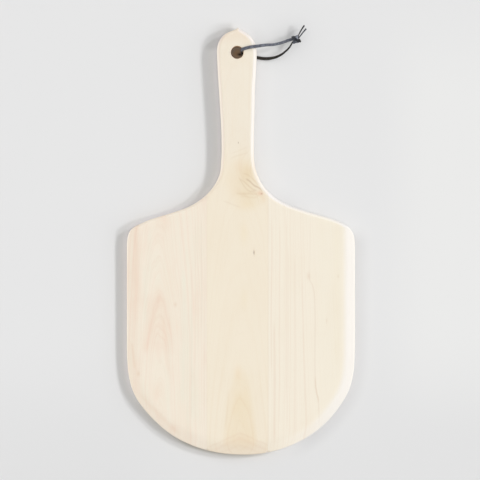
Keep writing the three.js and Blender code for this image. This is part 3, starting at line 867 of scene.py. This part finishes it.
# =====================================================================
# Leather
# =====================================================================
def leather():
    """Dark hide: grey grain side, brown flesh side, black where it is neither worn nor given
    painted sheen.
    """
    material = bpy.data.materials.new("leather")
    hide = Graph(cleared_tree(material))
    along, across, side = (hide.attribute(name) for name in ("along", "across", "side"))
    grain = side.ramp(0.2, -0.4)
    flesh = side.ramp(-0.2, 0.4)
    place = hide.vector(along, across, side * 3.0)
    mottle = place.noise(scale=0.45, detail=3.0, rough=0.6)
    creases = hide.vector(along * 0.55 + across * 1.3, across * 0.9 - along * 0.1,
                          side).noise(detail=3.0, rough=0.6)
    cells = hide.make("ShaderNodeTexVoronoi", {"Vector": place, "Scale": 2.3},
                      output="Distance", feature="DISTANCE_TO_EDGE")
    wrinkle = cells.ramp(0.0, 0.16)
    fibre = hide.vector(along * 1.2, across * 6.0, side * 2.0).noise(detail=3.0, rough=0.65)
    hide.colour = hide.mix(mottle.ramp(0.36, 0.66), linear((78, 81, 91)), linear((120, 124, 134)))
    hide.tint(creases.ramp(0.55, 0.70) * 0.75, (0.42, 0.43, 0.46))
    hide.tint((1.0 - wrinkle) * 0.5, (0.55, 0.55, 0.6))
    # unworn places are near black; wear and painted sheen turn them grey, and values above 1 paint
    # a pale sheen
    wear_and_sheen = hide.attribute("wear_and_sheen")
    top = hide.mix(wear_and_sheen, linear((17, 20, 27)), hide.colour)
    top = hide.mix(wear_and_sheen.ramp(1.0, 2.0), top, linear((158, 162, 173)))
    back = hide.mix(fibre, linear((22, 18, 15)), linear((54, 46, 38)))
    cut = hide.mix(fibre, linear((26, 25, 27)), linear((46, 42, 40)))
    hide.colour = hide.mix(flesh, hide.mix(grain, cut, top), back)
    height = wrinkle * 0.5 * grain + fibre * flesh * 0.8 + mottle * 0.3
    rough = flesh * 0.28 + 0.46 + mottle * 0.1
    hide.principled(rough, specular=0.35, height=height, bump_strength=0.6, bump_mm=0.12)
    return material


# =====================================================================
# Leather lace, in its own axes from the hole's centre: u along the loop, v square to it
# =====================================================================
LOOP_TILT = math.radians(13.0)          # u leans this far up from +X
LACE_W, LACE_T = 4.2, 1.8
KNOT_U, KNOT_V = 81.4, -0.1


def lace_vector(u, v, y):
    c, s = math.cos(LOOP_TILT), math.sin(LOOP_TILT)
    return np.array([u * c - v * s, y, u * s + v * c])


def lace_point(u, v, y):
    return np.array([HOLE[0], 0.0, HOLE[1]]) + lace_vector(u, v, y)


def placed(rows):
    """Rows of (u, v, y) point, width direction and optional width scale, in the board's axes."""
    return [(lace_point(*row[0]), lace_vector(*row[1]), *row[2:]) for row in rows]


def strip_section(half_w, half_t, radius):
    """Rounded rectangle, with extra points along its broad faces."""
    right, top = half_w - radius, half_t - radius
    section = []
    for x, y, turn in ((right, top, 0), (-right, top, 90), (-right, -top, 180),
                       (right, -top, 270)):
        for k in range(4):
            angle = math.radians(turn + k * 30)
            section.append((x + radius * math.cos(angle), y + radius * math.sin(angle)))
        if turn in (0, 180):
            face_y = half_t if turn == 0 else -half_t
            section += [(x + (-x - x) * k / 5, face_y) for k in range(1, 5)]
    return np.array(section)


def ribbon(name, stops, width, thick, wear_and_sheen_along, seed, step=0.55):
    """Closed flat strip along stops of (point, width direction[, width scale]).

    A function of distance along the strip gives its wear and painted sheen.
    """
    points = np.array([stop[0] for stop in stops], float)
    directions = np.array([stop[1] for stop in stops], float)
    directions /= np.linalg.norm(directions, axis=1)[:, None]
    path = smooth_path(points, step)
    stop_arc, arc = arc_lengths(points), arc_lengths(path)
    along = arc / arc[-1] * stop_arc[-1]
    wide = np.stack([np.interp(along, stop_arc, column) for column in directions.T], 1)
    scale = np.interp(along, stop_arc, [stop[2] if len(stop) > 2 else 1.0 for stop in stops])
    for _ in range(3):
        wide[1:-1] = (wide[:-2] + 2 * wide[1:-1] + wide[2:]) / 4
    tangent = np.gradient(path, axis=0)
    tangent /= np.linalg.norm(tangent, axis=1)[:, None]
    wide -= (wide * tangent).sum(1)[:, None] * tangent
    wide /= np.linalg.norm(wide, axis=1)[:, None]
    normal = np.cross(tangent, wide)

    # sections with uneven width, thickness and edges, and a slight cup
    half_w, half_t = width / 2, thick / 2
    section = strip_section(half_w, half_t, thick * 0.36)
    size, count = len(section), len(path)
    verts = []
    for i, s in enumerate(along):
        widen = 1 + 0.035 * noise.noise(Vector((s * 0.31, seed * 3.1, 0.0)))
        thicken = 1 + 0.07 * noise.noise(Vector((s * 0.45, seed * 5.7, 4.0)))
        for x, y in section:
            ragged = 0.07 * noise.noise(Vector((s * 1.3, 9.0 * np.sign(x) + seed, 1.0)))
            ragged *= abs(x) > half_w * 0.8
            cup = -0.08 * (1 - (x / half_w) ** 2)
            verts.append(path[i] + wide[i] * (x * widen * scale[i] + ragged * np.sign(x))
                         + normal[i] * (y * thicken * min(1.0, scale[i] + 0.15) + cup))
    faces = []
    for i in range(count - 1):
        for k in range(size):
            after = (k + 1) % size
            faces.append((i * size + k, i * size + after,
                          (i + 1) * size + after, (i + 1) * size + k))
    # end caps, slightly domed
    for row, way in ((0, -1), (count - 1, 1)):
        centre = len(verts)
        verts.append(path[row] + way * tangent[row] * 0.12)
        for k in range(size):
            faces.append((row * size + k, row * size + (k + 1) % size, centre)[::way])
    ob = new_object(name, (np.array(verts) * MM).tolist(), faces)
    if sum(p.center.dot(p.normal) * p.area for p in ob.data.polygons) < 0:
        ob.data.flip_normals()
    shade(ob, 60)

    def per_row(values):
        return np.concatenate([np.repeat(values, size), [values[0], values[-1]]])

    def per_section(values):
        return np.concatenate([np.tile(values, count), [0, 0]])

    broad = np.abs(section[:, 1]) > half_t * 0.55
    set_attribute(ob, "along", per_row(along))
    set_attribute(ob, "across", per_section(section[:, 0]))
    set_attribute(ob, "side", per_section(np.sign(section[:, 1]) * broad))
    set_attribute(ob, "wear_and_sheen", per_row(wear_and_sheen_along(along)))
    return ob


hide = leather()

# One flat lace: out of the knot, over the front, through the hole, behind, back to the knot.
# Rows: (u, v, y), width direction, width scale
LOOP_ROWS = [
    ((83.5, 1.6, -0.9), (0, 0.35, -1.0)), ((81.0, 1.5, -1.1), (0, 0.6, -0.8)),
    ((78.0, 1.2, -1.4), (0, 1, -0.35), 0.90), ((70.5, 0.8, -1.7), (0, 1, -0.15), 0.90),
    ((64.5, 0.0, -2.4), (0, 1, 0), 0.90), ((57.9, -0.6, -3.3), (0, 1, 0), 0.90),
    ((54.1, -0.6, -3.9), (0, 1, 0), 0.90), ((48.5, -0.5, -6.2), (0, 1, 0), 0.90),
    ((41.5, 0.6, -8.6), (0, 1, 0.10), 0.93), ((35.2, 1.3, -9.5), (0, 1, 0.06), 0.96),
    ((26.5, 2.1, -9.65), (0.05, 1, 0)), ((18.0, 2.9, -9.65), (0.08, 1, 0)),
    ((12.0, 2.8, -9.6), (0.10, 1, 0)), ((8.7, 2.4, -9.3), (0.12, 1, 0)),
    ((6.7, 2.0, -8.2), (0.14, 1, 0)), ((6.0, 1.5, -6.2), (0.16, 1, 0)),
    ((6.0, 0.0, 0.0), (0, 1, 0)), ((6.0, -1.5, 6.2), (-0.16, 1, 0)),
    ((6.7, -2.2, 8.2), (-0.05, 1, 0)), ((8.7, -3.1, 9.35), (0.30, 1, 0)),
    ((12.0, -5.2, 9.7), (0.45, 1, 0)), ((18.0, -8.1, 9.7), (0.48, 1, 0)),
    ((24.0, -10.9, 9.7), (0.45, 1, 0)), ((31.0, -13.9, 9.7), (0.32, 1, 0)),
    ((37.8, -15.9, 8.9), (0.15, 0.93, 0.35)), ((44.5, -16.8, 7.2), (0.0, 0.76, 0.65)),
    ((50.0, -16.7, 5.4), (-0.1, 0.64, 0.76)), ((54.0, -16.1, 4.0), (-0.15, 0.54, 0.83)),
    ((57.5, -15.1, 3.3), (-0.2, 0.45, 0.87)), ((60.9, -13.7, 2.9), (-0.2, 0.38, 0.90)),
    ((65.5, -11.4, 2.5), (-0.15, 0.28, 0.94)), ((70.0, -8.4, 2.1), (-0.1, 0.2, 0.97)),
    ((73.6, -4.9, 1.7), (-0.05, 0.12, 0.99)), ((76.5, -1.9, 1.3), (0.0, 0.1, 1.0)),
    ((79.5, -0.9, 1.0), (0, 0.2, 1.0)), ((83.0, -0.4, 0.9), (0, 0.3, 1.0)),
]
loop_stops = placed(LOOP_ROWS)
loop_length = arc_lengths(np.array([stop[0] for stop in loop_stops]))[-1]
# grey on the front strand from wear and painted sheen, dark near the knot
lace = ribbon("lace_loop_strap", loop_stops, LACE_W, LACE_T, seed=1,
              wear_and_sheen_along=lambda s: np.interp(s, [0, 6, 12, 30, 62, 76, 84, loop_length],
                                       [0.15, 0.35, 0.85, 1.0, 1.0, 0.85, 0.45, 0.3]))
lace.data.materials.append(hide)
lace_point(50.5, 0, 0) * MM
lace_point(61.5, 0, 0) * MM
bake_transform(lace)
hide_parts("lace_bight", "lace_front_strand", "lace_rear_strand")


def knot_turn(name, offset, tilt, phase, radius_v, radius_y, width, seed, lean, rub_and_sheen):
    """A lumpy turn round both strands, its ends tucked inward."""
    steps, sweep, tuck = 26, 6.9, 0.55
    stops = []
    for i in range(steps + 1):
        share = i / steps
        angle = phase + sweep * share
        cos, sin = math.cos(angle), math.sin(angle)
        out = min(1.0, min(share, 1 - share) / 0.14)
        reach = tuck + (1 - tuck) * (out * out * (3 - 2 * out))
        reach *= 1 + 0.05 * math.sin(2 * angle + seed) + 0.04 * math.sin(3 * angle + 2.1 * seed)
        u = KNOT_U + offset + tilt * math.cos(angle - 0.6) + lean * (share - 0.5)
        stops.append(((u, KNOT_V + radius_v * reach * cos, radius_y * reach * sin),
                      (1.0, -tilt * 0.10 * cos, tilt * 0.12 * sin), 0.86 + 0.14 * out))
    return ribbon(name, placed(stops), width, LACE_T * 0.94, step=0.42, seed=seed,
                  wear_and_sheen_along=lambda s: np.clip(rub_and_sheen + 0.25 * np.sin(s * 0.5 + seed), 0, 2))


# The knot: two turns, and a strap tucked across them
knot = [
    knot_turn("lace_knot_turn_a", offset=-2.75, tilt=1.15, phase=0.7, radius_v=3.95,
              radius_y=3.55, width=3.6, seed=2, lean=0.5, rub_and_sheen=0.6),
    # this turn's pale spots, where rub goes above 1, are painted sheen
    knot_turn("lace_knot_turn_b", offset=1.15, tilt=1.35, phase=2.3, radius_v=4.25,
              radius_y=3.85, width=3.7, seed=3, lean=-0.4, rub_and_sheen=1.5),
]
TUCK_ROWS = [
    ((KNOT_U + 4.2, KNOT_V - 1.2, 0.6), (0.2, -0.6, 1.0), 0.85),
    ((KNOT_U + 4.3, KNOT_V - 3.2, -1.4), (0.5, -0.5, 0.7)),
    ((KNOT_U + 3.0, KNOT_V - 4.1, -3.6), (0.8, 0.1, 0.5)),
    ((KNOT_U + 1.0, KNOT_V - 2.6, -5.2), (0.85, 0.5, 0.1)),
    ((KNOT_U - 1.6, KNOT_V + 0.6, -5.35), (0.8, 0.6, -0.05)),
    ((KNOT_U - 3.6, KNOT_V + 3.1, -4.2), (0.75, 0.55, -0.3)),
    ((KNOT_U - 4.3, KNOT_V + 4.3, -1.9), (0.8, 0.2, -0.6)),
    ((KNOT_U - 3.4, KNOT_V + 3.6, 0.9), (0.9, -0.1, -0.5), 0.85),
]
# the tuck's first millimetres are pale with painted sheen, its middle near black
knot.append(ribbon("lace_knot_tuck", placed(TUCK_ROWS), 3.5, LACE_T * 0.92, step=0.42, seed=5,
                   wear_and_sheen_along=lambda s: np.interp(s, [0, 3, 4.5, 10, 14], [1.7, 1.6, 0.0, 0.0, 0.2])))
for strap in knot:
    dress(strap, hide, "lace_end", "lace_knot")

# Tails leave the knot together and part: name, thickness, wear and painted sheen at the knot, seed,
# rows
for tail, thick, wear_and_sheen, seed, rows in (
    ("tail_front", 1.45, 0.0, 7, [
        ((82.0, 2.0, -0.8), (0, 0.1, 1)), ((83.4, 2.8, -0.8), (0, 0.1, 1)),
        ((85.4, 4.6, -0.8), (0.0, 0.0, 1)), ((88.2, 7.9, -0.8), (0.03, -0.05, 1)),
        ((91.9, 11.8, -0.9), (0.10, -0.12, 1)), ((95.9, 15.5, -0.9), (0.16, -0.22, 1)),
    ]),
    ("tail_rear", 1.25, 0.6, 8, [
        ((82.6, -0.6, 0.7), (0, -0.1, 1)), ((84.2, 0.5, 0.7), (0, -0.1, 1)),
        ((87.0, 2.8, 0.7), (0, -0.1, 1)), ((91.0, 6.0, 0.8), (-0.03, -0.2, 1)),
        ((95.0, 9.1, 0.85), (-0.06, -0.3, 1)), ((97.5, 10.8, 0.9), (-0.1, -0.4, 1)),
    ]),
):
    strap = ribbon(f"strap_{tail}", placed(rows), 3.9, thick, step=0.45, seed=seed,
                   wear_and_sheen_along=lambda s: wear_and_sheen + 0.3 * np.clip(s / 20, 0, 1))
    dress(strap, hide, tail, f"lace_{tail}")

# =====================================================================
# Stage: wall behind, pale floor (metres)
# =====================================================================
FLOOR_Z = -0.0425
WALL_FOOT_Y = 0.0087                    # at Z = 0, just behind the blade
WALL_LEAN = 0.0022                      # how much farther back the wall is at the lace
LACE_Z = 0.54


def backdrop():
    """Pale sheet seen from the front; it bounces light only beneath the hole or after a bounce."""
    material = bpy.data.materials.new("backdrop")
    graph = Graph(cleared_tree(material))
    tint = graph.tint
    x, _, z = graph.place()
    hole_x, hole_z = HOLE
    # painted light on the sheet: darker toward the bottom, lighter right of the blade's middle
    base = graph.mix((z - x * 0.12).ramp(190.0, -60.0),
                     linear((231, 231, 231)), linear((227, 227, 227)))
    graph.colour = graph.mix(x.ramp(170.0, 260.0) * z.span(180.0, 470.0, soft=170.0),
                             base, linear((235, 235, 234)))
    # painted shade close to the board: right of the blade, its right shoulder, below, lower left,
    # tip
    gap = graph.attribute("gap_mm")
    touch = gap.ramp(24.0, 1.0)
    tint(touch * x.ramp(60.0, 100.0) * z.ramp(312.0, 280.0), (0.885, 0.885, 0.89))
    tint(touch * x.ramp(8.0, 24.0) * x.ramp(100.0, 60.0) * z.ramp(180.0, 260.0),
         (0.945, 0.945, 0.948))
    tint(gap.ramp(6.5, 0.5) * z.ramp(60.0, 20.0) * x.ramp(46.0, 4.0) * x.ramp(-105.0, -70.0),
         (0.79, 0.775, 0.74))
    tint(gap.ramp(15.0, 4.0) * z.ramp(110.0, 30.0) * x.ramp(30.0, -30.0), (0.925, 0.925, 0.92))
    tint(gap.ramp(26.0, 4.0) * z.span(548.0, 575.0, soft=8.0) * x.ramp(-8.0, -16.0),
         (0.86, 0.86, 0.86))
    # painted light along the left edge, and painted shade farther out toward the lower left
    tint(gap.ramp(9.0, 1.0) * x.ramp(-18.0, -30.0) * z.ramp(50.0, 90.0), (1.095, 1.09, 1.125))
    tint(x.ramp(-60.0, -180.0) * z.ramp(160.0, 20.0), (0.98, 0.98, 0.98))
    # painted warm bounce light behind the hole, with a painted shadow of the lace at the bottom of
    # it
    from_hole = ((x + -hole_x) * (x + -hole_x)
                 + (z - hole_z) * (z - hole_z)).math("SQRT")
    graph.colour = graph.mix(from_hole.bell(width=9.0), graph.colour, linear((226, 197, 162)))
    tint(spot(x, z, -1.3, 536.7, 3.4, 1.9), (0.10, 0.09, 0.09))
    diffuse = graph.make("ShaderNodeBsdfDiffuse", {
        "Color": graph.colour, "Normal": graph.vector(0.0, -1.0, 0.0)})
    clear = graph.make("ShaderNodeBsdfTransparent")
    camera_ray = graph.make("ShaderNodeLightPath", output="Is Camera Ray")
    backfacing = graph.make("ShaderNodeNewGeometry", output="Backfacing")
    under_hole = hypot(x - hole_x, z - hole_z).math("LESS_THAN", 9.6)
    deep = camera_ray.output("Ray Depth").math("GREATER_THAN", 1.5)
    solid = camera_ray.math("MAXIMUM", under_hole).math("MAXIMUM", deep) * (1.0 - backfacing)
    graph.mixed_output("ShaderNodeOutputMaterial", solid, clear, diffuse)
    return material


def floor_material():
    """Seen by the camera only; other rays pass through."""
    material = bpy.data.materials.new("floor")
    graph = Graph(cleared_tree(material))
    x, y, _ = graph.place()
    colour = graph.mix(graph.vector(x * 0.004, y * 0.004, 0.0).noise(detail=3.0),
                       linear((246, 245, 243)), linear((250, 249, 248)))
    graph.mixed_output("ShaderNodeOutputMaterial",
                       graph.make("ShaderNodeLightPath", output="Is Camera Ray"),
                       graph.make("ShaderNodeBsdfTransparent"),
                       graph.make("ShaderNodeBsdfDiffuse", {"Color": colour}))
    return material


def recede(ob, body):
    """Lets the sheet sink behind the lace only while the lace is folded back through its plane."""
    tree = bpy.data.node_groups.new("recede", "GeometryNodeTree")
    for in_out in ("INPUT", "OUTPUT"):
        tree.interface.new_socket("Geometry", in_out=in_out, socket_type="NodeSocketGeometry")
    graph = Graph(tree)
    geometry = graph.make("NodeGroupInput")
    location = graph.make("GeometryNodeObjectInfo", {"Object": body}, output="Location",
                          transform_space="ORIGINAL")
    sink = graph.split(location)[1].ramp(-0.004, -0.085, low=0.0, high=0.026)
    near_lace = (0.078, WALL_FOOT_Y + WALL_LEAN, 0.531)
    reach = graph.make("ShaderNodeVectorMath", (graph.make("GeometryNodeInputPosition"), near_lace),
                       output="Value", operation="DISTANCE")
    mask = reach.ramp(0.036, 0.105, low=1.0, high=0.0)
    moved = graph.make("GeometryNodeSetPosition", {
        "Geometry": geometry, "Offset": graph.vector(0.0, mask * sink, 0.0)})
    graph.make("NodeGroupOutput", (moved,))
    ob.modifiers.new("recede", "NODES").node_group = tree


def wall():
    """A fine grid where the lace can fold back, wide quads beyond."""
    xs = [-2.2, -1.2, -0.5] + [round(-0.21 + 0.003 * i, 4) for i in range(141)] + [0.5, 1.2, 2.2]
    zs = [FLOOR_Z] + [round(-0.036 + 0.003 * i, 4) for i in range(236)] + [0.9, 1.6, 2.6]
    verts = [(x, WALL_FOOT_Y + WALL_LEAN * z / LACE_Z, z) for z in zs for x in xs]
    row = len(xs)
    faces = [(j * row + i, j * row + i + 1, (j + 1) * row + i + 1, (j + 1) * row + i)
             for j in range(len(zs) - 1) for i in range(row - 1)]
    ob = new_object("wall", verts, faces)
    ob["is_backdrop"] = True
    ob.data.materials.append(backdrop())
    ob.data.shade_smooth()
    # signed distance from the outline, negative behind the board
    grid = np.array([[v[0], v[2]] for v in verts]) / MM
    gap = np.full(len(grid), 400.0)
    near = np.all((grid > OUTLINE.min(0) - 40) & (grid < OUTLINE.max(0) + 40), axis=1)
    sign = np.where(inside(grid[near], OUTLINE), -1.0, 1.0)
    gap[near] = distance(grid[near], OUTLINE) * sign
    set_attribute(ob, "gap_mm", gap)
    recede(ob, frame["bodies"]["lace_end"])


wall()
floor = new_object("floor", [(-3, -3.2, FLOOR_Z), (3, -3.2, FLOOR_Z),
                             (3, 3.2, FLOOR_Z), (-3, 3.2, FLOOR_Z)], [(0, 1, 2, 3)])
floor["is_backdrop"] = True
floor.data.materials.append(floor_material())

# =====================================================================
# Light
# =====================================================================
AMBIENT = 0.63
FILL = (-0.15, 0.0, 0.04)               # the room is a little brighter opposite the key


def studio_world():
    """Plain grey to the camera, a nearly even white light to everything else."""
    world = bpy.data.worlds.new("studio")
    SCENE.world = world
    graph = Graph(cleared_tree(world))
    direction = graph.make("ShaderNodeTexCoord", output="Generated")
    fill = graph.make("ShaderNodeVectorMath", (direction, tuple(AMBIENT * f for f in FILL)),
                      output="Value", operation="DOT_PRODUCT")
    ambient = graph.make("ShaderNodeBackground", ((1.0, 1.0, 1.0), fill + AMBIENT))
    seen = graph.make("ShaderNodeBackground", (linear((229, 229, 229)),))
    graph.mixed_output("ShaderNodeOutputWorld",
                       graph.make("ShaderNodeLightPath", output="Is Camera Ray"), ambient, seen)


def sun(name, share, spread, toward):
    """A sun giving a share of the light on the board's face, spread in degrees."""
    toward = Vector(toward).normalized()        # from the board to the light
    light = bpy.data.lights.new(name, "SUN")
    light.angle = math.radians(spread)
    light.energy = share * math.pi / -toward.y
    ob = bpy.data.objects.new(name, light)
    SCENE.collection.objects.link(ob)
    ob.rotation_mode = "QUATERNION"
    ob.rotation_quaternion = toward.to_track_quat("Z", "Y")
    return ob, toward


studio_world()
for key in (
    dict(name="key_high", share=0.13, spread=7.0, toward=(1.33, -1.0, 0.56)),
    dict(name="key_low", share=0.13, spread=7.0, toward=(1.33, -1.0, -0.02)),
    dict(name="key_soft", share=0.11, spread=42.0, toward=(1.95, -1.0, -0.25)),
):
    key_ob, toward = sun(**key)
    key_ob.location = toward * 3

# A low card on the left lifts the left edges of the object, not the sheet
card, _ = sun("card", share=0.058, spread=24, toward=(-1.0, -0.123, 0.05))
lit = bpy.data.collections.new("lit_by_card")
for ob in SCENE.objects:
    if ob.type == "MESH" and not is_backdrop(ob):
        lit.objects.link(ob)
card.light_linking.receiver_collection = lit

# =====================================================================
# Camera, square to the front
# =====================================================================
CAMERA_DISTANCE = 3.0
SENSOR_W = 36.0
VIEW_W = 0.6422                         # width in view at Y = -0.003
camera_data = bpy.data.cameras.new("camera")
camera_data.sensor_width = SENSOR_W
camera_data.lens = (CAMERA_DISTANCE - 0.003) * SENSOR_W / VIEW_W
camera_data.clip_start, camera_data.clip_end = 0.05, 30
camera = bpy.data.objects.new("camera", camera_data)
SCENE.collection.objects.link(camera)
camera.location = (-0.00134, -CAMERA_DISTANCE, 0.28732)
camera.rotation_euler = (math.radians(90), 0, 0)
SCENE.camera = camera
SCENE.view_settings.view_transform = "Standard"
SCENE.view_settings.look = "None"
SCENE.view_settings.exposure = 0.0
SCENE.view_settings.gamma = 1.0

bpy.context.view_layer.update()
